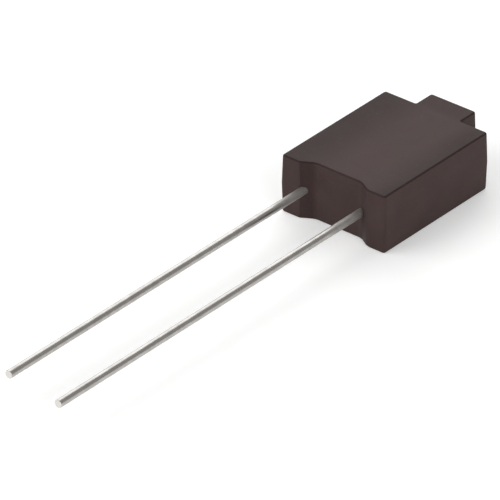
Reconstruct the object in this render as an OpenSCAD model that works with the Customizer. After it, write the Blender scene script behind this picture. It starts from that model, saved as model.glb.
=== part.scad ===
// Radial-lead moulded resistor, lying on its broad face.
// Two straight wire leads leave a stand-off recess in one end of a rectangular
// moulding, and a square boss stands on the other end. Inside, a wound bobbin
// is joined to the leads by weld tabs and wrapped in a soft sleeve.
//
// The origin is midway between the leads, on the plane of the two feet that
// stand on a circuit board. The leads point along -Y, +X follows the row of
// leads, and +Z is up through the thickness. Lengths are millimetres.

/* [Body] */
// Width of the moulding across the leads, at its broad faces
body_w = 9.4; // [8.8:0.1:10.6]
// Length of the moulding from its feet to its shoulders
body_l = 11.8; // [10.5:0.1:13]
// Thickness of the moulding between its broad faces
body_t = 4.7; // [4.4:0.1:5]
// How far the moulding sits to one side of the leads
body_shift = 0.28; // [-0.3:0.02:0.3]
// Mould draft on the side walls, from the parting plane to each broad face
draft_angle = 2; // [0:0.5:4]
// Rounding along the edges of the broad faces
edge_r = 0.14; // [0.08:0.02:0.24]
// Rounding of the upright corners, at the broad faces
corner_r = 0.2; // [0.16:0.02:0.4]

/* [Boss] */
// Width of the boss on the far end
boss_w = 4.1; // [3:0.1:5]
// Height of the boss above the shoulders
boss_h = 1.8; // [1.4:0.1:2.4]
// How far the boss sits to one side of the moulding
boss_shift = 0.18; // [-0.3:0.02:0.3]
// Fillet where the boss meets the shoulders
boss_fillet = 0.12; // [0.1:0.02:0.3]

/* [Stand-off recess] */
// Width of the recess between the two feet, in the middle of the moulding
recess_w = 6.2; // [5.8:0.1:6.6]
// Width of the flat floor of the recess
recess_floor_w = 4.2; // [3:0.1:4.8]
// Depth of the recess, at the broad faces
recess_depth = 0.6; // [0.5:0.02:1]
// Radius of the blends at the foot and at the top of each sloping flank
recess_blend = 1; // [0.2:0.05:1.1]

/* [Leads] */
// Diameter of the tinned wire
lead_d = 0.64; // [0.5:0.01:0.7]
// Distance between the centres of the leads
lead_pitch = 5.08; // [4.9:0.02:5.4]
// Length of the left lead beyond the feet
lead_left_l = 31.9; // [20:0.1:40]
// Length of the right lead beyond the feet
lead_right_l = 32.6; // [20:0.1:40]
// Length of each lead that stands above the bobbin's header
lead_stub_l = 1.15; // [1:0.05:1.6]
// Chamfer that the cutter leaves on a lead's tip
lead_tip_chamfer = 0.04; // [0.02:0.01:0.1]

/* [Bobbin] */
// Width of the header that holds both leads
header_w = 7.2; // [6.9:0.1:7.6]
// Length of each lead that the header grips
header_l = 1.5; // [1:0.1:2]
// Thickness of the header
header_t = 1.9; // [1.5:0.1:2.2]
// Thickness of each flange
flange_t = 0.4; // [0.3:0.05:0.5]
// Number of wound sections
section_count = 4; // [2:1:6]
// Length of the nose that locates the bobbin in the boss
nose_l = 1.9; // [1.2:0.1:2.2]

/* [Winding] */
// Depth of the windings on the bobbin's core
winding_depth = 0.63; // [0.5:0.01:0.8]
// How far the windings lie below the rims of the flanges
winding_gap = 0.27; // [0.22:0.01:0.4]
// Pitch of the ridges that the outermost turns make
turn_pitch = 0.15; // [0.1:0.05:0.3]
// Height of those ridges
turn_ridge = 0.03; // [0.01:0.01:0.05]
// Thickness of the doubled wire that crosses flanges and runs to the tabs
strand_t = 0.12; // [0.08:0.01:0.14]

/* [Tabs and sleeve] */
// Thickness of the weld tabs
tab_t = 0.12; // [0.08:0.01:0.16]
// Length of the collar that each tab wraps round its lead
tab_l = 0.9; // [0.6:0.05:0.95]
// Width of the ear that reaches from the collar to the sleeve
ear_w = 0.7; // [0.5:0.05:0.9]
// Thickness of the soft sleeve round the windings
sleeve_t = 0.2; // [0.15:0.01:0.25]

/* [Moulded walls] */
// Moulding over the sleeve, below each broad face
cover_t = 0.45; // [0.4:0.05:0.6]
// Moulding between the floor of the recess and the header
cover_front = 0.8; // [0.6:0.1:1.2]
// Moulding between the last flange and the shoulders
cover_back = 1.15; // [0.8:0.05:1.6]

/* [Hidden] */
$fn = 64;
// Facets round the leads where the moulding and the header grip them
grip_sides = 12;
// Steps in the rounding of an edge and in the rounding of a corner
edge_steps = 4;
corner_steps = 8;
// Smallest corner that an inset outline may keep
least_r = 0.02;
// Overlap that joins a wire end to its winding
root = 0.1;

lead_x = lead_pitch / 2;
tab_r = lead_d / 2 + tab_t;

// The sleeve fills the room inside the moulded cover, and where the moulding
// is thick the room between the two tabs is what it fills.
sleeve_r = min(body_t / 2 - cover_t, lead_x - tab_r);
flange_r = sleeve_r - sleeve_t;
winding_r = flange_r - winding_gap;
core_r = winding_r - winding_depth;

header_y = recess_depth + cover_front;
header_top = header_y + header_l;
bobbin_top = body_l - cover_back;
section_l = (bobbin_top - header_top - (section_count + 1) * flange_t) / section_count;

// The first wire end leaves the middle of the winding's depth, and the last
// one comes back between the windings and the sleeve.
start_r = (core_r + winding_r) / 2;
return_r = (winding_r + turn_ridge + flange_r) / 2;
tail_end_x = lead_x - lead_d / 2 - strand_t;

// Each corner of the moulding seen from above, going round anticlockwise:
// its place, its radius, and whether the side that follows has draft. The
// feet have none, so that they stand flat on the board.
DRAFTED = 1;
FLAT = 0;
body_left = body_shift - body_w / 2;
body_right = body_shift + body_w / 2;
boss_left = body_shift + boss_shift - boss_w / 2;
boss_right = body_shift + boss_shift + boss_w / 2;
boss_top = body_l + boss_h;
OUTLINE = [
    [body_left, 0, corner_r, FLAT],
    [body_shift - recess_w / 2, 0, recess_blend, DRAFTED],
    [body_shift - recess_floor_w / 2, recess_depth, recess_blend, DRAFTED],
    [body_shift + recess_floor_w / 2, recess_depth, recess_blend, DRAFTED],
    [body_shift + recess_w / 2, 0, recess_blend, FLAT],
    [body_right, 0, corner_r, DRAFTED],
    [body_right, body_l, corner_r, DRAFTED],
    [boss_right, body_l, boss_fillet, DRAFTED],
    [boss_right, boss_top, corner_r, DRAFTED],
    [boss_left, boss_top, corner_r, DRAFTED],
    [boss_left, body_l, boss_fillet, DRAFTED],
    [body_left, body_l, corner_r, DRAFTED]
];

// Outline geometry

function turned(v, a) = [v.x * cos(a) - v.y * sin(a), v.x * sin(a) + v.y * cos(a)];
function corner_point(i) = let(c = OUTLINE[(i + len(OUTLINE)) % len(OUTLINE)]) [c[0], c[1]];
function side_draft(i) = OUTLINE[(i + len(OUTLINE)) % len(OUTLINE)][3];
function side_way(i) =
    let(v = corner_point(i + 1) - corner_point(i)) v / norm(v);
function side_normal(i) = turned(side_way(i), 90);

// The corner that two sides meet in once each has moved into the material.
function moved_corner(i, in_before, in_after) =
    let(
        n1 = side_normal(i - 1),
        n2 = side_normal(i),
        det = n1.x * n2.y - n1.y * n2.x
    )
    corner_point(i) + [
        (in_before * n2.y - in_after * n1.y) / det,
        (n1.x * in_after - n2.x * in_before) / det
    ];

// The rounded corner i, with every side moved in by edge_in and each drafted
// side moved out again by draft_out.
function corner_arc(i, edge_in, draft_out) =
    let(
        in_before = edge_in - side_draft(i - 1) * draft_out,
        in_after = edge_in - side_draft(i) * draft_out,
        u1 = side_way(i - 1),
        u2 = side_way(i),
        turn = atan2(u1.x * u2.y - u1.y * u2.x, u1 * u2),
        side = sign(turn),
        r = max(OUTLINE[i][2] - side * (in_before + in_after) / 2, least_r),
        start = moved_corner(i, in_before, in_after) - u1 * r * tan(abs(turn) / 2),
        out = -side * r * side_normal(i - 1)
    )
    [for (k = [0:corner_steps]) start - out + turned(out, turn * k / corner_steps)];

function ring_at(edge_in, draft_out) =
    [for (i = [0:len(OUTLINE) - 1]) each corner_arc(i, edge_in, draft_out)];

// Half thickness and inset of each step of the rounded edge, from the broad
// face down to the drafted wall.
function edge_level(k) =
    let(a = 90 * k / edge_steps)
    [body_t / 2 - edge_r * (1 - cos(a)), edge_r * (1 - sin(a))];
function draft_at(z) = tan(draft_angle) * (body_t / 2 - abs(z));
function lifted(ring, z) = [for (p = ring) [p.x, p.y, z]];

// Every ring of the moulding from the lower broad face to the upper one.
function body_rings() =
    let(levels = [for (k = [0:edge_steps]) edge_level(k)])
    concat(
        [for (l = levels) lifted(ring_at(l[1], draft_at(l[0])), -l[0])],
        [lifted(ring_at(0, draft_at(0)), 0)],
        [for (k = [edge_steps:-1:0]) lifted(ring_at(levels[k][1], draft_at(levels[k][0])), levels[k][0])]
    );

// A closed skin over the rings. Each end is a fan about a hub, a point from
// which the whole outline can be seen.
module loft(rings, hub) {
    n = len(rings[0]);
    last = len(rings) - 1;
    hub_low = len(rings) * n;
    walls = [
        for (r = [0:last - 1], i = [0:n - 1])
            let(j = (i + 1) % n)
            [r * n + i, (r + 1) * n + i, (r + 1) * n + j, r * n + j]
    ];
    low_end = [for (i = [0:n - 1]) [hub_low, i, (i + 1) % n]];
    high_end = [for (i = [0:n - 1]) [hub_low + 1, last * n + (i + 1) % n, last * n + i]];
    hubs = [[hub.x, hub.y, rings[0][0].z], [hub.x, hub.y, rings[last][0].z]];
    polyhedron(concat([for (ring = rings) each ring], hubs), concat(low_end, walls, high_end));
}

// Placing

module along_y(y) {
    translate([0, y, 0])
        rotate([-90, 0, 0])
            children();
}

module right_side() {
    children();
}

module left_side() {
    mirror([1, 0, 0])
        children();
}

// The flats swaged on a lead where it is gripped, from the feet to its inner end.
module lead_grip(from, to) {
    translate([lead_x, 0, 0])
        along_y(from)
            cylinder(d = lead_d, h = to - from, $fn = grip_sides);
}

module strand_box(x0, x1, y0, y1) {
    translate([x0, y0, -strand_t / 2])
        cube([x1 - x0, y1 - y0, strand_t]);
}

// Moulding

module header_block() {
    along_y(header_y)
        linear_extrude(header_l) {
            square([header_w - header_t, header_t], center = true);
            for (x = [-1, 1] * (header_w - header_t) / 2)
                translate([x, 0])
                    circle(d = header_t);
        }
}

// The outside of everything that the moulding flowed round.
module filled_space() {
    header_block();
    along_y(header_top)
        cylinder(r = sleeve_r, h = bobbin_top - header_top);
    along_y(bobbin_top)
        cylinder(r = core_r, h = nose_l);
    for (side = [0, 1])
        mirror([side, 0, 0]) {
            lead_grip(-root, header_top + lead_stub_l);
            translate([lead_x, 0, 0])
                along_y(header_top)
                    cylinder(r = tab_r, h = tab_l);
            ear();
        }
}

module moulded_body() {
    color("#4B4140")
        difference() {
            loft(body_rings(), [body_shift + boss_shift, body_l / 2]);
            filled_space();
        }
}

// Leads

module lead(length) {
    color("#A8A4A0") {
        translate([lead_x, 0, 0]) {
            along_y(lead_tip_chamfer - length)
                cylinder(d = lead_d, h = length - lead_tip_chamfer);
            along_y(-length)
                cylinder(d1 = lead_d - 2 * lead_tip_chamfer, d2 = lead_d, h = lead_tip_chamfer);
        }
        lead_grip(0, header_top + lead_stub_l);
    }
}

module lead_left() {
    left_side()
        lead(lead_left_l);
}

module lead_right() {
    right_side()
        lead(lead_right_l);
}

// Bobbin

// How far along the core flange i starts, with flange 0 on the header.
function flange_y(i) = header_top + i * (flange_t + section_l);

module flange_slot(i, depth_r) {
    strand_box(depth_r, sleeve_r, flange_y(i) - root, flange_y(i) + flange_t + root);
}

module bobbin() {
    color("#B79B72")
        difference() {
            union() {
                header_block();
                along_y(header_top)
                    cylinder(r = core_r, h = bobbin_top + nose_l - header_top);
                for (i = [0:section_count])
                    along_y(flange_y(i))
                        cylinder(r = flange_r, h = flange_t);
            }
            for (side = [0, 1])
                mirror([side, 0, 0])
                    lead_grip(header_y - root, header_top + root);
            // the first wire end goes down through flange 0 and along the header
            left_side() {
                strand_box(start_r - strand_t / 2, sleeve_r, header_top, header_top + flange_t + root);
                strand_box(start_r - strand_t / 2, tail_end_x, header_top - strand_t, header_top);
            }
            // the last wire end passes every flange but the far one
            right_side() {
                for (i = [0:section_count - 1])
                    flange_slot(i, return_r - strand_t / 2);
                strand_box(return_r - strand_t / 2, tail_end_x, header_top - strand_t, header_top + root);
            }
            // the crossings from one section to the next
            for (i = [1:section_count - 1])
                crossing_side()
                    flange_slot(i, start_r - strand_t / 2);
        }
}

// The crossings lie a quarter turn from both wire ends.
module crossing_side() {
    rotate([0, -90, 0])
        children();
}

// Winding

// The outside of one section's turns, as a row of ridges from y = 0.
function turn_profile(turns) = concat(
    [[core_r, 0], [winding_r, 0]],
    [
        for (k = [0:turns - 1])
            each [
                [winding_r + turn_ridge, (k + 0.5) * section_l / turns],
                [winding_r, (k + 1) * section_l / turns]
            ]
    ],
    [[core_r, section_l]]
);

module wound_section(i) {
    along_y(flange_y(i) + flange_t)
        rotate_extrude()
            polygon(turn_profile(floor(section_l / turn_pitch)));
}

module resistance_wire() {
    color("#7A3B22") {
        for (i = [0:section_count - 1])
            wound_section(i);
        for (i = [1:section_count - 1])
            crossing_side()
                strand_box(
                    start_r - strand_t / 2,
                    start_r + strand_t / 2,
                    flange_y(i) - root,
                    flange_y(i) + flange_t + root
                );
        left_side() {
            strand_box(
                start_r - strand_t / 2,
                start_r + strand_t / 2,
                header_top - strand_t,
                header_top + flange_t + root
            );
            strand_box(start_r - strand_t / 2, tail_end_x, header_top - strand_t, header_top);
        }
        right_side() {
            strand_box(
                return_r - strand_t / 2,
                return_r + strand_t / 2,
                header_top - strand_t,
                flange_y(section_count) - section_l / 2
            );
            strand_box(return_r - strand_t / 2, tail_end_x, header_top - strand_t, header_top);
            // the last turn lifts off its section to start the way back
            strand_box(
                winding_r - root,
                return_r + strand_t / 2,
                flange_y(section_count) - section_l / 2 - strand_t,
                flange_y(section_count) - section_l / 2
            );
        }
    }
}

// Weld tabs

module ear() {
    translate([0, header_top, -ear_w / 2])
        cube([lead_x, tab_t, ear_w]);
}

module terminal_tab() {
    color("#B9B5AA")
        difference() {
            union() {
                translate([lead_x, 0, 0])
                    along_y(header_top)
                        cylinder(r = tab_r, h = tab_l);
                ear();
            }
            lead_grip(header_top - root, header_top + tab_l + root);
            along_y(header_top - root)
                cylinder(r = sleeve_r, h = tab_l + 2 * root);
        }
}

module terminal_tab_left() {
    left_side()
        terminal_tab();
}

module terminal_tab_right() {
    right_side()
        terminal_tab();
}

// Sleeve

module buffer_sleeve() {
    color("#D8D2C4")
        along_y(header_top)
            difference() {
                cylinder(r = sleeve_r, h = bobbin_top - header_top);
                translate([0, 0, -root])
                    cylinder(r = flange_r, h = bobbin_top - header_top + 2 * root);
            }
}

moulded_body();
lead_left();
lead_right();
bobbin();
resistance_wire();
terminal_tab_left();
terminal_tab_right();
buffer_sleeve();
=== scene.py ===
"""Radial-lead moulded resistor, lying on its broad face on a pale studio floor.

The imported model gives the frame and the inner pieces. The moulded housing and
the two tinned wires are modelled here and stand for their solids, and every
piece gets its finish. Lengths are metres, angles are degrees, and MM turns
millimetres to metres.
"""

import logging
import math
from collections.abc import Callable
from dataclasses import dataclass, field
from enum import Enum

import bmesh
import bpy
from mathutils import Matrix, Vector


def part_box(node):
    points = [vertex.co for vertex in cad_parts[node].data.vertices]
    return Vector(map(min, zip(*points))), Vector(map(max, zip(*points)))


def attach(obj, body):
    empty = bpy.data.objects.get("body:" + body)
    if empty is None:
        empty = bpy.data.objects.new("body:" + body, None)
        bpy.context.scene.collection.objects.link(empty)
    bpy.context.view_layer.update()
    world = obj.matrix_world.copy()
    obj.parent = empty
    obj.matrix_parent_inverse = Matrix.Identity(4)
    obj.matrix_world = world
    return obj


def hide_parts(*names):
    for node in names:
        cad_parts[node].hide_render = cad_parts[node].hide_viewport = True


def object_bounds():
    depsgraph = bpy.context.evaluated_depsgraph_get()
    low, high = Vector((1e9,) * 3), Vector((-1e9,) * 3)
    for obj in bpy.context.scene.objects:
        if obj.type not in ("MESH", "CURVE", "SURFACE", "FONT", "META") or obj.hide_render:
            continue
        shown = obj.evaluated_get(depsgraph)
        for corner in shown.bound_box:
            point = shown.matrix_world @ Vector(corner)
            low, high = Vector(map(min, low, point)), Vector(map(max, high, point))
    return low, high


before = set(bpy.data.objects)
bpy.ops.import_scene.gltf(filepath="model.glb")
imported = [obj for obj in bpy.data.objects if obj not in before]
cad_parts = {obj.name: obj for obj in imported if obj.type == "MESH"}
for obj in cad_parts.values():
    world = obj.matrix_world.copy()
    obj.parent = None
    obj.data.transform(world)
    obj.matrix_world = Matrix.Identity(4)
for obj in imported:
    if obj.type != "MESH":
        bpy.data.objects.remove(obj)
CAD_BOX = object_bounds()

MM = 0.001
# Closest that a place in a mesh is told from another
NEAR = 0.002 * MM
# A face looks along an axis if its normal's share of that axis is above this
SQUARE_ON = 0.9
# Above 50, the larger faces count for more in the normals along their edges
FACE_WEIGHT = 90
# Most of a noise lies between these
NOISE_LOW = 0.3
NOISE_HIGH = 0.7
# Where something starts and where it ends
Span = tuple[float, float]
LOG = logging.getLogger("resistor")


class Kind(Enum):
    """What edit mode selects."""

    VERT = "VERT"
    EDGE = "EDGE"
    FACE = "FACE"


class Slot(Enum):
    """The record's material slots of the pieces modelled here, named but not given to them."""

    MOULDING = "moulding"
    TINNED_WIRE = "tinned_wire"


# Edit mode


def deselect() -> None:
    """Leaves edit mode and deselects every object."""
    if bpy.context.mode != "OBJECT":
        bpy.ops.object.mode_set(mode="OBJECT")
    bpy.ops.object.select_all(action="DESELECT")


def use(obj: bpy.types.Object) -> None:
    """Makes one object the only selected and active one.

    Args:
        obj: The object to work on.
    """
    deselect()
    obj.select_set(True)
    bpy.context.view_layer.objects.active = obj


def pick(kind: Kind, test: Callable[..., bool]) -> int:
    """Selects what passes a test in the mesh that is in edit mode.

    Args:
        kind: Whether vertices, edges or faces are tested.
        test: Says yes or no for one of them.

    Returns:
        How many passed.
    """
    bpy.ops.mesh.select_mode(type=kind.value)
    bpy.ops.mesh.select_all(action="DESELECT")
    mesh = bpy.context.edit_object.data
    bm = bmesh.from_edit_mesh(mesh)
    parts = {Kind.VERT: bm.verts, Kind.EDGE: bm.edges, Kind.FACE: bm.faces}[kind]
    chosen = [part for part in parts if test(part)]
    for part in chosen:
        part.select_set(True)
    bm.select_flush_mode()
    bmesh.update_edit_mesh(mesh)
    return len(chosen)


def near(a: float, b: float) -> bool:
    """Whether two lengths are the same to within the tolerance."""
    return abs(a - b) < NEAR


def middle(edge: bmesh.types.BMEdge) -> Vector:
    """The middle point of an edge."""
    return (edge.verts[0].co + edge.verts[1].co) / 2


def upright(edge: bmesh.types.BMEdge) -> bool:
    """Whether an edge runs along Z."""
    return (edge.verts[0].co - edge.verts[1].co).to_2d().length < NEAR


def apply_modifier(obj: bpy.types.Object, kind: str, **settings: object) -> None:
    """Adds a modifier and applies it.

    Args:
        obj: The object that gets it.
        kind: The modifier's type name.
        settings: Its properties.
    """
    use(obj)
    modifier = obj.modifiers.new(kind.lower(), kind)
    for name, value in settings.items():
        setattr(modifier, name, value)
    bpy.ops.object.modifier_apply(modifier=modifier.name)


def cut_away(obj: bpy.types.Object, cutter: bpy.types.Object) -> None:
    """Subtracts a cutter from a piece and deletes the cutter.

    Args:
        obj: The piece.
        cutter: The closed shape to take away.
    """
    apply_modifier(obj, "BOOLEAN", operation="DIFFERENCE", object=cutter, solver="EXACT")
    bpy.data.objects.remove(cutter)


def smooth(obj: bpy.types.Object, angle: float) -> None:
    """Shades a piece smooth, except at sharp edges, and keeps its large faces flat.

    Args:
        obj: The piece.
        angle: The edges that turn by more than this stay sharp.
    """
    use(obj)
    bpy.ops.object.shade_smooth_by_angle(angle=math.radians(angle))
    apply_modifier(obj, "WEIGHTED_NORMAL", keep_sharp=True, weight=FACE_WEIGHT)


def place() -> None:
    """Puts the active object's place, turn and scale into its mesh."""
    bpy.ops.object.transform_apply(location=True, rotation=True, scale=True)


def rod_along_y(x: float, radius: float, start: float, end: float, sides: int) -> bpy.types.Object:
    """Extrudes a rod along Y, at the height of the leads, from a circle.

    Args:
        x: Where the axis lies.
        radius: The rod's radius.
        start: Its lower end in Y.
        end: Its upper end in Y.
        sides: How many sides it has.

    Returns:
        The new object, active and selected.
    """
    deselect()
    bpy.ops.mesh.primitive_circle_add(
        vertices=sides,
        radius=radius,
        fill_type="NGON",
        location=(x, start, 0),
        rotation=(math.radians(90), 0, 0),
    )
    place()
    bpy.ops.object.mode_set(mode="EDIT")
    bpy.ops.mesh.select_all(action="SELECT")
    bpy.ops.transform.resize(value=(1, 0, 1), center_override=(0, start, 0))
    bpy.ops.mesh.extrude_region_move(TRANSFORM_OT_translate={"value": (0, end - start, 0)})
    bpy.ops.transform.resize(value=(1, 0, 1), center_override=(0, end, 0))
    bpy.ops.mesh.select_all(action="SELECT")
    bpy.ops.mesh.normals_make_consistent(inside=False)
    bpy.ops.object.mode_set(mode="OBJECT")
    return bpy.context.active_object


def bar(low: Vector, high: Vector) -> bpy.types.Object:
    """Adds a square-edged bar between two corners.

    Args:
        low: Its lowest corner.
        high: Its highest corner.

    Returns:
        The new object, active and selected.
    """
    deselect()
    bpy.ops.mesh.primitive_cube_add(size=1, location=(low + high) / 2)
    bpy.context.active_object.scale = high - low
    place()
    return bpy.context.active_object


# Materials


class NodeKind(Enum):
    """The kinds of shader node that the materials are made of."""

    COORDINATES = "ShaderNodeTexCoord"
    GEOMETRY = "ShaderNodeNewGeometry"
    LIGHT_PATH = "ShaderNodeLightPath"
    SPLIT = "ShaderNodeSeparateXYZ"
    MAPPING = "ShaderNodeMapping"
    NOISE = "ShaderNodeTexNoise"
    RANGE = "ShaderNodeMapRange"
    MATH = "ShaderNodeMath"
    MIX = "ShaderNodeMix"
    BUMP = "ShaderNodeBump"
    PRINCIPLED = "ShaderNodeBsdfPrincipled"
    DIFFUSE = "ShaderNodeBsdfDiffuse"
    EMISSION = "ShaderNodeEmission"
    ADD_SHADER = "ShaderNodeAddShader"
    BACKGROUND = "ShaderNodeBackground"
    MATERIAL_OUT = "ShaderNodeOutputMaterial"
    WORLD_OUT = "ShaderNodeOutputWorld"


def linear(hex_colour: str) -> tuple[float, float, float, float]:
    """Turns an sRGB colour into the linear one that a shader takes.

    Args:
        hex_colour: The colour as #RRGGBB.

    Returns:
        Red, green, blue and full alpha.
    """
    # The sRGB curve is a straight line at the dark end and a power above it
    straight_to, slope, offset, power = 0.04045, 12.92, 0.055, 2.4
    parts = [int(hex_colour[i:i + 2], 16) / 255 for i in (1, 3, 5)]
    curve = [c / slope if c <= straight_to else ((c + offset) / (1 + offset)) ** power for c in parts]
    return (*curve, 1.0)


def add_node(
    tree: bpy.types.NodeTree,
    kind: NodeKind,
    inputs: dict[str | int, object] | None = None,
    **settings: object,
) -> bpy.types.Node:
    """Adds a shader node with its settings and links.

    Args:
        tree: The node tree.
        kind: Which kind of node.
        inputs: For each input a value, the output socket that feeds it, or a node whose
            first output feeds it.
        settings: The node's own properties.

    Returns:
        The new node.
    """
    node = tree.nodes.new(kind.value)
    for name, value in settings.items():
        setattr(node, name, value)
    for name, value in (inputs or {}).items():
        if isinstance(value, bpy.types.Node):
            value = next(output for output in value.outputs if output.enabled)
        if isinstance(value, bpy.types.NodeSocket):
            tree.links.new(value, node.inputs[name])
        else:
            node.inputs[name].default_value = value
    return node


def new_material(name: str) -> tuple[bpy.types.Material, bpy.types.NodeTree, bpy.types.NodeSocket]:
    """Makes an empty material that reads Object coordinates.

    Args:
        name: The material's name.

    Returns:
        The material, its node tree and the coordinates' output.
    """
    material = bpy.data.materials.new(name)
    material.use_nodes = True
    material.node_tree.nodes.clear()
    coordinates = add_node(material.node_tree, NodeKind.COORDINATES)
    return material, material.node_tree, coordinates.outputs["Object"]


# Epoxy filled with ground mineral looks dull and even, and the spark-eroded tool leaves a
# fine matt grain on it
@dataclass(frozen=True)
class MouldedEpoxy:
    """Mineral-filled epoxy, transfer moulded in a spark-eroded tool."""

    dark: str = "#463836"
    light: str = "#4D3F3D"
    speck: str = "#5A4C4A"
    # Painted shade: dark on the rounded rims, and in part on the recess's flanks
    rim: str = "#2C2120"
    # Painted shade along the sides of the broad faces, which leaves a lighter painted sheen in their
    # middle
    sheen_falloff: str = "#3C2F2E"
    roughness: float = 0.46
    # How far the clouds take the roughness down and up
    smoother: float = 0.04
    rougher: float = 0.05
    ior: float = 1.5
    gloss: float = 0.062
    cloud_size: float = 2.6 * MM
    speck_size: float = 0.16 * MM
    # Only the noise's peaks between these become specks, and no speck is full
    speck_from: float = 0.62
    speck_to: float = 0.8
    speck_share: float = 0.5
    # The eroded grain is about 0.03 mm across and is drawn at 0.07 mm so that it shows
    grain_size: float = 0.07 * MM
    grain_height: float = 0.004 * MM
    grain_strength: float = 0.25
    # The Z of a normal over which a wall turns into a rim, and a rim into a broad face
    wall_slant: Span = (0.15, 0.4)
    face_slant: Span = (0.85, 0.98)
    rim_share: float = 0.6
    # The broad faces keep their painted sheen, free of painted shade, between these shares of the
    # block's width
    sheen_from: float = 0.30
    sheen_to: float = 0.86
    # The painted shade comes in over these shares to each side of the two
    sheen_rise: float = 0.20
    sheen_fall: float = 0.13
    # How far the edge of the painted sheen wanders, and over what length
    wander: float = 0.4 * MM
    wander_size: float = 3.0 * MM
    # Half the length over which the painted shade comes in at the shoulders
    shoulder_fade: float = 0.5 * MM
    # The boss gets this much painted shade, where 1 is as much as the sides
    boss_shade: float = 0.5
    # How far below a broad face the painted shade starts, and where it is full
    sheen_depth: Span = (0.1 * MM, 0.01 * MM)
    # How much of the rims' dark tone is painted on the recess's flanks as shade
    flank_shade: float = 0.3
    # The X of a normal, and its Y, over which a wall turns into a flank
    flank_tilt: Span = (0.1, 0.45)
    flank_front: Span = (-0.6, -0.4)
    # How far from the block's middle the flanks reach, and where their painted shade has faded out
    flank_reach: Span = (3.3 * MM, 3.6 * MM)

    def build(self, low: Vector, high: Vector) -> bpy.types.Material:
        """Makes the material.

        Args:
            low: The block's lowest corner.
            high: Its highest corner, at the shoulders.

        Returns:
            Dull brown-grey compound with a fine even grain, with painted shade on its rims, its
            recess's flanks and the sides of its broad faces, which leaves a painted sheen between them.
        """
        material, tree, place_in = new_material("filled_epoxy_as_moulded")
        cloud = add_node(
            tree, NodeKind.NOISE, {"Vector": place_in, "Scale": 1 / self.cloud_size, "Detail": 4.0}
        )
        shade = add_node(
            tree, NodeKind.RANGE, {"Value": cloud, "From Min": NOISE_LOW, "From Max": NOISE_HIGH}
        )
        speck = add_node(
            tree, NodeKind.NOISE, {"Vector": place_in, "Scale": 1 / self.speck_size, "Detail": 2.0}
        )
        specks = add_node(
            tree, NodeKind.RANGE,
            {
                "Value": speck, "From Min": self.speck_from, "From Max": self.speck_to,
                "To Max": self.speck_share,
            },
        )
        colour = linear(self.dark)
        layers = (
            (shade, self.light),
            # Painted sheen: the broad faces are darker along both sides, so their middle reads lighter
            (self.painted_sheen_mask(tree, place_in, low, high), self.sheen_falloff),
            # Painted shade on the recess's flanks
            (self.painted_flank_shade_mask(tree, place_in, low, high), self.rim),
            # Painted shade on the rounded rims
            (self.painted_rim_shade_mask(tree), self.rim),
            (specks, self.speck),
        )
        for mask, tone in layers:
            colour = add_node(
                tree, NodeKind.MIX, {"Factor": mask, "A": colour, "B": linear(tone)}, data_type="RGBA"
            )
        grain = add_node(
            tree, NodeKind.NOISE, {"Vector": place_in, "Scale": 1 / self.grain_size, "Detail": 3.0}
        )
        relief = add_node(
            tree, NodeKind.BUMP,
            {"Height": grain, "Strength": self.grain_strength, "Distance": self.grain_height},
        )
        roughness = add_node(
            tree, NodeKind.RANGE,
            {
                "Value": cloud, "From Min": NOISE_LOW, "From Max": NOISE_HIGH,
                "To Min": self.roughness - self.smoother, "To Max": self.roughness + self.rougher,
            },
        )
        surface = add_node(
            tree, NodeKind.PRINCIPLED,
            {
                "Base Color": colour,
                "Roughness": roughness,
                "IOR": self.ior,
                "Specular IOR Level": self.gloss,
                "Normal": relief,
            },
        )
        add_node(tree, NodeKind.MATERIAL_OUT, {"Surface": surface})
        return material

    def painted_rim_shade_mask(self, tree: bpy.types.NodeTree) -> bpy.types.Node:
        """Painted shade on the rounded rims, where the walls turn into the broad faces.

        Args:
            tree: The node tree.

        Returns:
            0 on the walls and the broad faces, and more on the rounded rims.
        """
        normal = add_node(tree, NodeKind.GEOMETRY).outputs["Normal"]
        upward = add_node(tree, NodeKind.SPLIT, {"Vector": normal}).outputs["Z"]
        slant = add_node(tree, NodeKind.MATH, {0: upward}, operation="ABSOLUTE")
        off_walls, off_faces = (
            add_node(
                tree, NodeKind.RANGE,
                {"Value": slant, "From Min": start, "From Max": end, "To Min": first, "To Max": last},
                interpolation_type="SMOOTHSTEP",
            )
            for (start, end), first, last in (
                (self.wall_slant, 0.0, self.rim_share),
                (self.face_slant, 1.0, 0.0),
            )
        )
        return add_node(tree, NodeKind.MATH, {0: off_walls, 1: off_faces}, operation="MULTIPLY")

    def painted_flank_shade_mask(
        self, tree: bpy.types.NodeTree, place_in: bpy.types.NodeSocket, low: Vector, high: Vector
    ) -> bpy.types.Node:
        """Painted shade on the sloping flanks of the recess.

        Args:
            tree: The node tree.
            place_in: The coordinates it reads.
            low: The block's lowest corner.
            high: Its highest corner, at the shoulders.

        Returns:
            The painted shade on the flanks, and 0 elsewhere.
        """
        normal = add_node(tree, NodeKind.GEOMETRY).outputs["Normal"]
        facing = add_node(tree, NodeKind.SPLIT, {"Vector": normal}).outputs
        tilt = add_node(tree, NodeKind.MATH, {0: facing["X"]}, operation="ABSOLUTE")
        across = add_node(tree, NodeKind.SPLIT, {"Vector": place_in}).outputs["X"]
        centre = (low.x + high.x) / 2
        shifted = add_node(tree, NodeKind.MATH, {0: across, 1: centre}, operation="SUBTRACT")
        off_middle = add_node(tree, NodeKind.MATH, {0: shifted}, operation="ABSOLUTE")
        mask = add_node(
            tree, NodeKind.RANGE,
            {
                "Value": tilt, "From Min": self.flank_tilt[0], "From Max": self.flank_tilt[1],
                "To Max": self.flank_shade,
            },
            interpolation_type="SMOOTHSTEP",
        )
        for value, (start, end) in ((off_middle, self.flank_reach), (facing["Y"], self.flank_front)):
            share = add_node(
                tree, NodeKind.RANGE,
                {"Value": value, "From Min": start, "From Max": end, "To Min": 1.0, "To Max": 0.0},
            )
            mask = add_node(tree, NodeKind.MATH, {0: mask, 1: share}, operation="MULTIPLY")
        return mask

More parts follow.
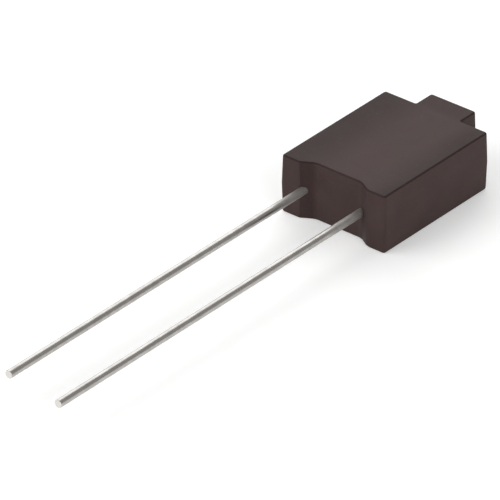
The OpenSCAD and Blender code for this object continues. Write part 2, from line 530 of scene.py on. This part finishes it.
    def painted_sheen_mask(
        self, tree: bpy.types.NodeTree, place_in: bpy.types.NodeSocket, low: Vector, high: Vector
    ) -> bpy.types.Node:
        """Painted shade along both sides of each broad face, which leaves a painted sheen between them.

        Args:
            tree: The node tree.
            place_in: The coordinates it reads.
            low: The block's lowest corner.
            high: Its highest corner, at the shoulders.

        Returns:
            1 along both sides of each broad face, less on the boss's, and 0 between the
            sides and on the walls, with soft edges.
        """
        axes = add_node(tree, NodeKind.SPLIT, {"Vector": place_in}).outputs
        width = high.x - low.x
        left, right = low.x + self.sheen_from * width, low.x + self.sheen_to * width
        rising, falling = self.sheen_rise * width, self.sheen_fall * width
        blotch = add_node(
            tree, NodeKind.NOISE, {"Vector": place_in, "Scale": 1 / self.wander_size, "Detail": 2.0}
        )
        drift = add_node(
            tree, NodeKind.RANGE, {"Value": blotch, "To Min": -self.wander, "To Max": self.wander}
        )
        x = add_node(tree, NodeKind.MATH, {0: axes["X"], 1: drift}, operation="ADD")
        fade = self.shoulder_fade
        left_side, right_side, boss = (
            add_node(
                tree, NodeKind.RANGE,
                {"Value": along, "From Min": start, "From Max": end, "To Min": first, "To Max": last},
                interpolation_type="SMOOTHSTEP",
            )
            for along, start, end, first, last in (
                (x, left - rising, left + rising, 1.0, 0.0),
                (x, right - falling, right + falling, 0.0, 1.0),
                (axes["Y"], high.y - fade, high.y + fade, 0.0, self.boss_shade),
            )
        )
        depth = add_node(tree, NodeKind.MATH, {0: axes["Z"]}, operation="ABSOLUTE")
        flat = add_node(
            tree, NodeKind.RANGE,
            {
                "Value": depth,
                "From Min": high.z - self.sheen_depth[0],
                "From Max": high.z - self.sheen_depth[1],
            },
        )
        sides = add_node(tree, NodeKind.MATH, {0: left_side, 1: right_side}, operation="MAXIMUM")
        sheen_off = add_node(tree, NodeKind.MATH, {0: sides, 1: boss}, operation="MAXIMUM")
        return add_node(tree, NodeKind.MATH, {0: sheen_off, 1: flat}, operation="MULTIPLY")


# A tin coat gives a soft grey shine that is drawn out along the wire, and goes dull in store
@dataclass(frozen=True)
class TinnedWire:
    """Copper wire, tinned, drawn to size and dulled in store."""

    bright: str = "#B9B6B2"
    dull: str = "#ACA9A5"
    cut: str = "#D9D6D1"
    roughness: float = 0.27
    # How far the film takes the roughness down and up
    smoother: float = 0.02
    rougher: float = 0.04
    blasted_roughness: float = 0.62
    # The blast that cleans flash off the block reaches the wires between these places in Y
    blast_from: float = -4.4 * MM
    blast_to: float = -1.6 * MM
    film_size: float = 0.8 * MM
    # Where the film's noise turns from bright to dull
    film_span: Span = (0.35, 0.65)
    # The draw lines are about 0.01 mm wide and are drawn at 0.04 mm so that they show
    line_width: float = 0.04 * MM
    line_height: float = 0.002 * MM
    line_strength: float = 0.1
    # The small scale in Y draws the lines out along the wire
    line_stretch: tuple[float, float, float] = (1.0, 0.02, 1.0)
    # The Y of a normal over which the cut end turns into the wire's side
    cut_facing: Span = (-0.95, -0.8)

    def build(self) -> bpy.types.Material:
        """Makes the material.

        Returns:
            Grey metal with soft draw lines along the wire, frosted where it leaves the block
            and bright on the cut end.
        """
        material, tree, place_in = new_material("tinned_copper_wire_drawn")
        stretched = add_node(tree, NodeKind.MAPPING, {"Vector": place_in, "Scale": self.line_stretch})
        lines = add_node(
            tree, NodeKind.NOISE, {"Vector": stretched, "Scale": 1 / self.line_width, "Detail": 2.0}
        )
        relief = add_node(
            tree, NodeKind.BUMP,
            {"Height": lines, "Strength": self.line_strength, "Distance": self.line_height},
        )
        film = add_node(
            tree, NodeKind.NOISE, {"Vector": place_in, "Scale": 1 / self.film_size, "Detail": 3.0}
        )
        drawn = add_node(
            tree, NodeKind.RANGE,
            {
                "Value": film, "From Min": NOISE_LOW, "From Max": NOISE_HIGH,
                "To Min": self.roughness - self.smoother, "To Max": self.roughness + self.rougher,
            },
        )
        along = add_node(tree, NodeKind.SPLIT, {"Vector": place_in}).outputs["Y"]
        blast = add_node(
            tree, NodeKind.RANGE,
            {"Value": along, "From Min": self.blast_from, "From Max": self.blast_to},
            interpolation_type="SMOOTHSTEP",
        )
        roughness = add_node(
            tree, NodeKind.MIX, {"Factor": blast, "A": drawn, "B": self.blasted_roughness}
        )
        normal = add_node(tree, NodeKind.GEOMETRY).outputs["Normal"]
        facing = add_node(tree, NodeKind.SPLIT, {"Vector": normal}).outputs["Y"]
        dulled, end = (
            add_node(
                tree, NodeKind.RANGE,
                {"Value": value, "From Min": start, "From Max": stop, "To Min": first, "To Max": last},
            )
            for value, (start, stop), first, last in (
                (film, self.film_span, 0.0, 1.0),
                (facing, self.cut_facing, 1.0, 0.0),
            )
        )
        colour = linear(self.bright)
        for mask, tone in ((dulled, self.dull), (end, self.cut)):
            colour = add_node(
                tree, NodeKind.MIX, {"Factor": mask, "A": colour, "B": linear(tone)}, data_type="RGBA"
            )
        surface = add_node(
            tree, NodeKind.PRINCIPLED,
            {"Base Color": colour, "Metallic": 1.0, "Roughness": roughness, "Normal": relief},
        )
        add_node(tree, NodeKind.MATERIAL_OUT, {"Surface": surface})
        return material


@dataclass(frozen=True)
class InnerFinish:
    """A finish of the wound insert: two shades, a grain, and how it shines."""

    name: str
    first: str
    second: str
    grain: float
    relief: float
    roughness: float
    metallic: float = 0.0
    stretch: tuple[float, float, float] = (1.0, 1.0, 1.0)
    blotch_size: float = 1.2 * MM
    relief_strength: float = 0.4
    # Where the grain's noise has its low and high ends, and how far it takes the roughness
    grain_span: Span = (0.2, 0.8)
    roughness_swing: float = 0.05

    def build(self) -> bpy.types.Material:
        """Makes the material.

        Returns:
            The two shades in soft blotches over a grain of real size.
        """
        material, tree, place_in = new_material(self.name)
        stretched = add_node(tree, NodeKind.MAPPING, {"Vector": place_in, "Scale": self.stretch})
        grain = add_node(
            tree, NodeKind.NOISE, {"Vector": stretched, "Scale": 1 / self.grain, "Detail": 2.0}
        )
        relief = add_node(
            tree, NodeKind.BUMP,
            {"Height": grain, "Strength": self.relief_strength, "Distance": self.relief},
        )
        blotch = add_node(
            tree, NodeKind.NOISE, {"Vector": place_in, "Scale": 1 / self.blotch_size, "Detail": 3.0}
        )
        shade = add_node(
            tree, NodeKind.RANGE, {"Value": blotch, "From Min": NOISE_LOW, "From Max": NOISE_HIGH}
        )
        colour = add_node(
            tree, NodeKind.MIX,
            {"Factor": shade, "A": linear(self.first), "B": linear(self.second)},
            data_type="RGBA",
        )
        roughness = add_node(
            tree, NodeKind.RANGE,
            {
                "Value": grain, "From Min": self.grain_span[0], "From Max": self.grain_span[1],
                "To Min": self.roughness - self.roughness_swing,
                "To Max": self.roughness + self.roughness_swing,
            },
        )
        surface = add_node(
            tree, NodeKind.PRINCIPLED,
            {"Base Color": colour, "Metallic": self.metallic, "Roughness": roughness, "Normal": relief},
        )
        add_node(tree, NodeKind.MATERIAL_OUT, {"Surface": surface})
        return material


# Glass-filled resin, tan and dull
BOBBIN_RESIN = InnerFinish(
    name="glass_filled_resin_moulded", first="#C3A67C", second="#B0946B",
    grain=0.09 * MM, relief=0.005 * MM, roughness=0.5,
)
# Fine alloy wire under red-brown enamel, which shines along each turn
ENAMEL = InnerFinish(
    name="enamelled_alloy_wire", first="#6E3220", second="#84432A",
    grain=0.05 * MM, relief=0.003 * MM, roughness=0.28,
)
# Nickel strip, silvery, with the rolling lines across the tab
NICKEL = InnerFinish(
    name="rolled_nickel_strip", first="#BDB8AE", second="#AAA59B",
    grain=0.05 * MM, relief=0.002 * MM, roughness=0.3, metallic=1.0, stretch=(1.0, 0.05, 1.0),
)
# Silicone rubber, off-white and chalky
SILICONE = InnerFinish(
    name="silicone_rubber_extruded", first="#D9D2C4", second="#CDC5B6",
    grain=0.12 * MM, relief=0.004 * MM, roughness=0.62,
)


# Pieces


def dress(obj: bpy.types.Object, material: bpy.types.Material) -> None:
    """Gives a piece one material all over.

    Args:
        obj: The piece.
        material: Its finish.
    """
    obj.data.materials.clear()
    obj.data.materials.append(material)


def stand_for(obj: bpy.types.Object, node: str) -> None:
    """Lets a new piece stand for one of the frame's solids.

    Args:
        obj: The new piece.
        node: The solid.
    """
    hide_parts(node)
    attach(obj, "root")


@dataclass
class Housing:
    """The moulded block with its feet, stand-off recess, shoulders and boss."""

    node: str = "moulded_body"
    draft_angle: float = 2.0
    boss_width: float = 4.1 * MM
    boss_shift: float = 0.18 * MM
    boss_height: float = 1.8 * MM
    boss_fillet: float = 0.12 * MM
    recess_width: float = 6.2 * MM
    floor_width: float = 4.2 * MM
    recess_depth: float = 0.6 * MM
    recess_blend: float = 1.0 * MM
    # The blend at the left foot's inner corner
    sharp_blend: float = 0.25 * MM
    corner: float = 0.2 * MM
    rim: float = 0.14 * MM
    # How many segments the bevels have
    small_steps: int = 4
    corner_steps: int = 5
    blend_steps: int = 10
    smooth_angle: float = 40.0
    low: Vector = field(init=False)
    high: Vector = field(init=False)
    draft: float = field(init=False)

    def __post_init__(self) -> None:
        """Takes the block's sides at its broad faces from the frame."""
        low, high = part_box(self.node)
        self.draft = math.tan(math.radians(self.draft_angle)) * high.z
        self.low = Vector((low.x + self.draft, 0.0, low.z))
        self.high = Vector((high.x - self.draft, high.y - self.draft - self.boss_height, high.z))

    @property
    def centre(self) -> float:
        """Where the middle of the block lies in X."""
        return (self.low.x + self.high.x) / 2

    @property
    def boss_sides(self) -> tuple[float, float]:
        """Where the boss's two sides lie in X."""
        boss_centre = self.centre + self.boss_shift
        return boss_centre - self.boss_width / 2, boss_centre + self.boss_width / 2

    def build(self, insert: "WoundInsert") -> bpy.types.Object:
        """Models the housing from a cube.

        Args:
            insert: What the housing was moulded round.

        Returns:
            The finished piece, which stands for the moulded solid.
        """
        obj = bar(self.low, self.high)
        obj.name = "moulded_housing"
        bpy.ops.object.mode_set(mode="EDIT")
        self.raise_boss()
        self.sink_recess()
        self.round_uprights()
        self.draft_sides()
        self.round_rims()
        deselect()
        for cutter in insert.space():
            cut_away(obj, cutter)
        smooth(obj, self.smooth_angle)
        dress(obj, MouldedEpoxy().build(self.low, self.high))
        stand_for(obj, self.node)
        return obj

    def raise_boss(self) -> None:
        """Splits the far end at the boss's sides and extrudes the middle."""
        for x in self.boss_sides:
            pick(Kind.FACE, lambda f: f.normal.y > SQUARE_ON)
            bpy.ops.mesh.bisect(plane_co=(x, 0, 0), plane_no=(1, 0, 0))
        left, right = self.boss_sides
        pick(Kind.FACE, lambda f: f.normal.y > SQUARE_ON and left < f.calc_center_median().x < right)
        bpy.ops.mesh.extrude_region_move(
            TRANSFORM_OT_translate={"value": (0, self.boss_height, 0)}
        )
        # Each broad face is one face again, from the feet to the end of the boss
        pick(
            Kind.EDGE,
            lambda e: (
                near(middle(e).y, self.high.y) and not upright(e) and left < middle(e).x < right
            ),
        )
        bpy.ops.mesh.dissolve_edges(use_verts=False)

    def sink_recess(self) -> None:
        """Splits the near end at the recess and moves the floor in."""
        floor, mouth = self.floor_width / 2, self.recess_width / 2
        for offset in (-mouth, -floor, floor, mouth):
            pick(Kind.FACE, lambda f: f.normal.y < -SQUARE_ON)
            bpy.ops.mesh.bisect(plane_co=(self.centre + offset, 0, 0), plane_no=(1, 0, 0))
        pick(
            Kind.FACE,
            lambda f: f.normal.y < -SQUARE_ON and abs(f.calc_center_median().x - self.centre) < floor,
        )
        bpy.ops.transform.translate(value=(0, self.recess_depth, 0))

    def round_uprights(self) -> None:
        """Bevels each set of upright edges to its own radius."""
        slope = math.atan2(self.recess_depth, (self.recess_width - self.floor_width) / 2)
        share = math.tan(slope / 2)
        left_mouth = self.centre - self.recess_width / 2
        right_mouth = self.centre + self.recess_width / 2
        self.bevel_uprights(
            self.sharp_blend * share,
            self.small_steps,
            lambda p: near(p.x, left_mouth) and near(p.y, 0),
        )
        self.bevel_uprights(
            self.recess_blend * share,
            self.blend_steps,
            lambda p: (
                left_mouth + self.recess_blend < p.x < right_mouth + NEAR and p.y < self.high.y / 2
            ),
        )
        left, right = self.boss_sides
        top = self.high.y + self.boss_height
        self.bevel_uprights(
            self.boss_fillet,
            self.small_steps,
            lambda p: near(p.y, self.high.y) and (near(p.x, left) or near(p.x, right)),
        )
        self.bevel_uprights(
            self.corner,
            self.corner_steps,
            lambda p: near(p.y, top) or near(p.x, self.low.x) or near(p.x, self.high.x),
        )

    def bevel_uprights(self, cut: float, steps: int, test: Callable[[Vector], bool]) -> None:
        """Bevels the upright edges that pass a test.

        Args:
            cut: How far the bevel reaches along each side.
            steps: How many segments it has.
            test: Says yes or no for an edge's middle point.
        """
        pick(Kind.EDGE, lambda e: upright(e) and test(middle(e)))
        bpy.ops.mesh.bevel(offset=cut, segments=steps, affect="EDGES", clamp_overlap=False)

    def draft_sides(self) -> None:
        """Adds the parting plane and pushes it out, except at the feet."""
        bpy.ops.mesh.select_all(action="SELECT")
        bpy.ops.mesh.bisect(plane_co=(0, 0, 0), plane_no=(0, 0, 1))
        pick(Kind.VERT, lambda v: near(v.co.z, 0))
        bpy.ops.transform.shrink_fatten(value=self.draft, use_even_offset=True)
        pick(Kind.VERT, lambda v: v.co.y < 0)
        bpy.ops.transform.resize(value=(1, 0, 1), center_override=(0, 0, 0))

    def round_rims(self) -> None:
        """Rounds the edges round both broad faces."""
        pick(Kind.EDGE, lambda e: near(abs(middle(e).z), self.high.z))
        bpy.ops.mesh.bevel(
            offset=self.rim, segments=self.small_steps, affect="EDGES", clamp_overlap=False
        )


@dataclass
class Wire:
    """One straight tinned lead, with flats swaged on it where it is gripped."""

    node: str
    sides: int = 48
    grip_sides: int = 12
    chamfer: float = 0.04 * MM
    grip_from: float = 0.75 * MM
    # How long the swage takes to turn the round wire into flats
    run_out: float = 0.06 * MM
    smooth_angle: float = 25.0

    def build(self, finish: bpy.types.Material) -> bpy.types.Object:
        """Models the wire from two rods that are bridged.

        Args:
            finish: The wire's material.

        Returns:
            The finished piece, which stands for the lead's solid.
        """
        low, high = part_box(self.node)
        centre, radius = (low.x + high.x) / 2, (high.x - low.x) / 2
        gripped = rod_along_y(centre, radius, self.grip_from, high.y, self.grip_sides)
        obj = rod_along_y(centre, radius, low.y, self.grip_from - self.run_out, self.sides)
        gripped.select_set(True)
        bpy.ops.object.join()
        obj.name = self.node + "_wire"
        bpy.ops.object.mode_set(mode="EDIT")
        pick(Kind.EDGE, lambda e: near(middle(e).y, low.y))
        bpy.ops.mesh.bevel(offset=self.chamfer, segments=2, affect="EDGES")
        facing = (self.grip_from - self.run_out, self.grip_from)
        pick(
            Kind.FACE,
            lambda f: (
                abs(f.normal.y) > SQUARE_ON
                and any(near(f.calc_center_median().y, y) for y in facing)
            ),
        )
        bpy.ops.mesh.bridge_edge_loops()
        bpy.ops.mesh.select_all(action="SELECT")
        bpy.ops.mesh.normals_make_consistent(inside=False)
        smooth(obj, self.smooth_angle)
        dress(obj, finish)
        stand_for(obj, self.node)
        return obj


@dataclass
class WoundInsert:
    """The bobbin with its winding, tabs and sleeve, and the room that they take.

    The pieces are the frame's own. Their boxes give the sizes of the room.
    """

    header_thickness: float = 1.9 * MM
    core_radius: float = 0.8 * MM
    tab_thickness: float = 0.12 * MM
    ear_width: float = 0.7 * MM
    mouth_radius: float = 0.335 * MM
    mouth_depth: float = 0.75 * MM
    # How far a space starts inside the one before it
    lap: float = 0.01 * MM
    sides: int = 64
    grip_sides: int = 12

    def space(self) -> list[bpy.types.Object]:
        """Makes the shapes that leave the housing's inside when they are cut away.

        Returns:
            The cutters, in the order in which they are used.
        """
        (sleeve_low, sleeve_high), (_, bobbin_high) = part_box("buffer_sleeve"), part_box("bobbin")
        header_top, nose_top = sleeve_low.y, bobbin_high.y
        cutters = self.header(header_top)
        cutters.append(rod_along_y(0, sleeve_high.z, header_top - self.lap, sleeve_high.y, self.sides))
        cutters.append(rod_along_y(0, self.core_radius, sleeve_high.y - self.lap, nose_top, self.sides))
        for lead, tab in (("lead_left", "terminal_tab_left"), ("lead_right", "terminal_tab_right")):
            cutters += self.gripped_lead(lead, tab)
        return cutters

    def header(self, top: float) -> list[bpy.types.Object]:
        """Makes the round-ended bar that the header fills.

        Args:
            top: The header's top in Y.

        Returns:
            The bar and its two round ends.
        """
        low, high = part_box("bobbin")
        half = self.header_thickness / 2
        reach = high.x - half
        rods = [rod_along_y(x, half, low.y, top, self.sides) for x in (-reach, reach)]
        return [bar(Vector((-reach, low.y, -half)), Vector((reach, top, half))), *rods]

    def gripped_lead(self, lead: str, tab: str) -> list[bpy.types.Object]:
        """Makes the room of one lead and its tab.

        Args:
            lead: The lead's node.
            tab: Its tab's node.

        Returns:
            The round mouth, the gripped length, the collar and the ear.
        """
        low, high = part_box(lead)
        centre, radius = (low.x + high.x) / 2, (high.x - low.x) / 2
        start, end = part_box(tab)[0].y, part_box(tab)[1].y
        collar = radius + self.tab_thickness
        inner, outer = sorted((0.0, centre))
        return [
            rod_along_y(centre, self.mouth_radius, -self.mouth_depth, self.mouth_depth, self.sides),
            rod_along_y(centre, radius, self.mouth_depth - self.lap, high.y, self.grip_sides),
            rod_along_y(centre, collar, start - self.lap, end, self.sides),
            bar(
                Vector((inner, start - self.lap, -self.ear_width / 2)),
                Vector((outer, start + self.tab_thickness, self.ear_width / 2)),
            ),
        ]

    def dress_pieces(self) -> list[bpy.types.Object]:
        """Gives the frame's inner pieces their finishes.

        Returns:
            The pieces.
        """
        finishes = {
            "bobbin": BOBBIN_RESIN,
            "resistance_wire": ENAMEL,
            "terminal_tab_left": NICKEL,
            "terminal_tab_right": NICKEL,
            "buffer_sleeve": SILICONE,
        }
        for node, finish in finishes.items():
            dress(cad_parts[node], finish.build())
        return [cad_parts[node] for node in finishes]


# Studio


@dataclass(frozen=True)
class SoftLamp:
    """One square lamp that faces the part."""

    name: str
    location: tuple[float, float, float]
    size: float
    power: float

    def build(self) -> None:
        """Hangs the lamp."""
        deselect()
        bpy.ops.object.light_add(type="AREA", location=self.location)
        lamp = bpy.context.active_object
        lamp.name = self.name
        lamp.data.size = self.size
        lamp.data.energy = self.power
        lamp.rotation_euler = (-Vector(self.location)).to_track_quat("-Z", "Y").to_euler()


@dataclass
class Studio:
    """The pale floor, the soft lamps and the camera."""

    azimuth: float = 39.52
    elevation: float = 31.21
    aim: tuple[float, float] = (-0.265 * MM, -8.6 * MM)
    distance: float = 563.5 * MM
    # In the camera's own millimetres
    lens: float = 576.0
    view_from: float = 0.01
    view_to: float = 10.0
    floor_size: float = 3.0
    paper: str = "#F2F2F2"
    fibre: str = "#F1F1F0"
    fibre_size: float = 1.5 * MM
    surround: float = 0.42
    floor_lift: float = 0.26
    lamps: tuple[SoftLamp, ...] = (
        SoftLamp("front_left", (-0.30, -0.36, 0.36), size=0.5, power=1.6),
        SoftLamp("right", (0.50, -0.16, 0.30), size=0.4, power=0.95),
        SoftLamp("back_left", (-0.33, 0.40, 0.32), size=0.6, power=1.85),
    )

    def build(self) -> None:
        """Makes everything that isn't the object."""
        self.make_floor()
        self.make_world()
        for lamp in self.lamps:
            lamp.build()
        self.make_camera()

    def make_floor(self) -> None:
        """Lays white paper under the part."""
        deselect()
        bpy.ops.mesh.primitive_plane_add(size=self.floor_size, location=(0, 0, CAD_BOX[0].z))
        floor = bpy.context.active_object
        floor.name = "studio_floor"
        material, tree, place_in = new_material("white_paper")
        grain = add_node(
            tree, NodeKind.NOISE, {"Vector": place_in, "Scale": 1 / self.fibre_size, "Detail": 2.0}
        )
        shade = add_node(
            tree, NodeKind.RANGE, {"Value": grain, "From Min": NOISE_LOW, "From Max": NOISE_HIGH}
        )
        colour = add_node(
            tree, NodeKind.MIX,
            {"Factor": shade, "A": linear(self.paper), "B": linear(self.fibre)},
            data_type="RGBA",
        )
        paper = add_node(tree, NodeKind.DIFFUSE, {"Color": colour})
        # The paper shows as white to the eye and in the wires, and keeps the part's shadow
        path = add_node(tree, NodeKind.LIGHT_PATH).outputs
        seen = path["Is Camera Ray"]
        for ray in ("Is Glossy Ray", "Is Transmission Ray"):
            seen = add_node(tree, NodeKind.MATH, {0: seen, 1: path[ray]}, operation="MAXIMUM")
        lift = add_node(tree, NodeKind.MATH, {0: seen, 1: self.floor_lift}, operation="MULTIPLY")
        glow = add_node(tree, NodeKind.EMISSION, {"Color": linear("#FFFFFF"), "Strength": lift})
        both = add_node(tree, NodeKind.ADD_SHADER, {0: paper, 1: glow})
        add_node(tree, NodeKind.MATERIAL_OUT, {"Surface": both})
        floor.data.materials.append(material)

    def make_world(self) -> None:
        """Gives a grey surround."""
        world = bpy.data.worlds.new("studio_surround")
        bpy.context.scene.world = world
        world.use_nodes = True
        tree = world.node_tree
        tree.nodes.clear()
        grey = add_node(
            tree, NodeKind.BACKGROUND, {"Color": linear("#FFFFFF"), "Strength": self.surround}
        )
        add_node(tree, NodeKind.WORLD_OUT, {"Surface": grey})

    def make_camera(self) -> None:
        """Sets the camera at the photograph's angle."""
        around, above = math.radians(self.azimuth), math.radians(self.elevation)
        back = Vector(
            (math.sin(around) * math.cos(above), -math.cos(around) * math.cos(above), math.sin(above))
        )
        right = Vector((0, 0, 1)).cross(back).normalized()
        data = bpy.data.cameras.new("camera")
        data.lens = self.lens
        data.clip_start, data.clip_end = self.view_from, self.view_to
        camera = bpy.data.objects.new("camera", data)
        bpy.context.collection.objects.link(camera)
        turn = Matrix((right, back.cross(right), back)).transposed()
        camera.matrix_world = Matrix.LocRotScale(
            Vector((*self.aim, 0)) + back * self.distance, turn.to_quaternion(), None
        )
        bpy.context.scene.camera = camera


def main() -> None:
    """Builds the studio and every piece, and reports them."""
    logging.basicConfig(level=logging.INFO, format="%(name)s: %(message)s")
    bpy.context.scene.view_settings.view_transform = "Standard"
    Studio().build()
    insert = WoundInsert()
    pieces = [Housing().build(insert)]
    tin = TinnedWire().build()
    pieces += [Wire(node).build(tin) for node in ("lead_left", "lead_right")]
    pieces += insert.dress_pieces()
    for piece in pieces:
        LOG.info("%s: %d faces", piece.name, len(piece.data.polygons))


if __name__ == "__main__":
    main()
